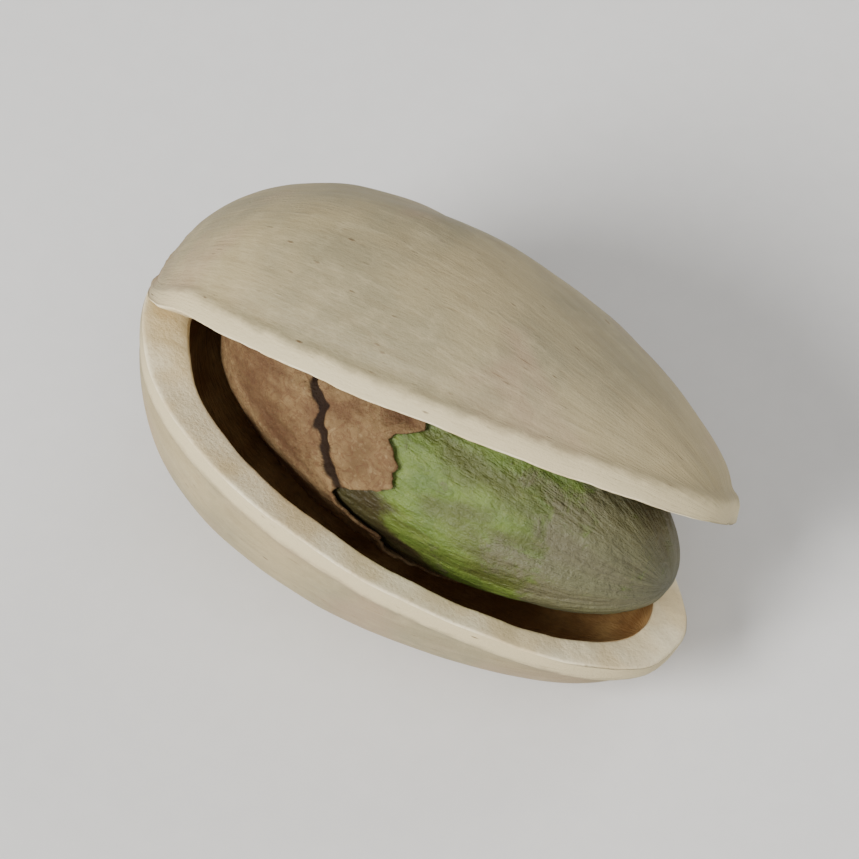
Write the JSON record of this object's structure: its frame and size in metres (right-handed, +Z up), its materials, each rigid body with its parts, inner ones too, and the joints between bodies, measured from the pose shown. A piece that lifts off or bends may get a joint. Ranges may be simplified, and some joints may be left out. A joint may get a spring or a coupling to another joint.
{
  "type": "pistachio in shell",
  "caption": "Pistachio lying on its side, its hard shell split along the front seam over a green kernel in a torn papery skin.",
  "frame": {"origin": "on the plane of the flat spot that the nut rests on, under the middle of its outline", "axes": "+X from the stem end to the tip, -Y towards the open mouth of the shell, +Z up"},
  "size_m": [0.0216, 0.0138, 0.0136],
  "materials": {
    "shell": "matt, cream, finely grooved",
    "seed_skin": "matt, pink-brown, wrinkled",
    "kernel": "satin, green"
  },
  "bodies": {
    "root": {"shell": "shell", "seed_skin": "seed_skin", "kernel": "kernel"}
  },
  "joints": []
}
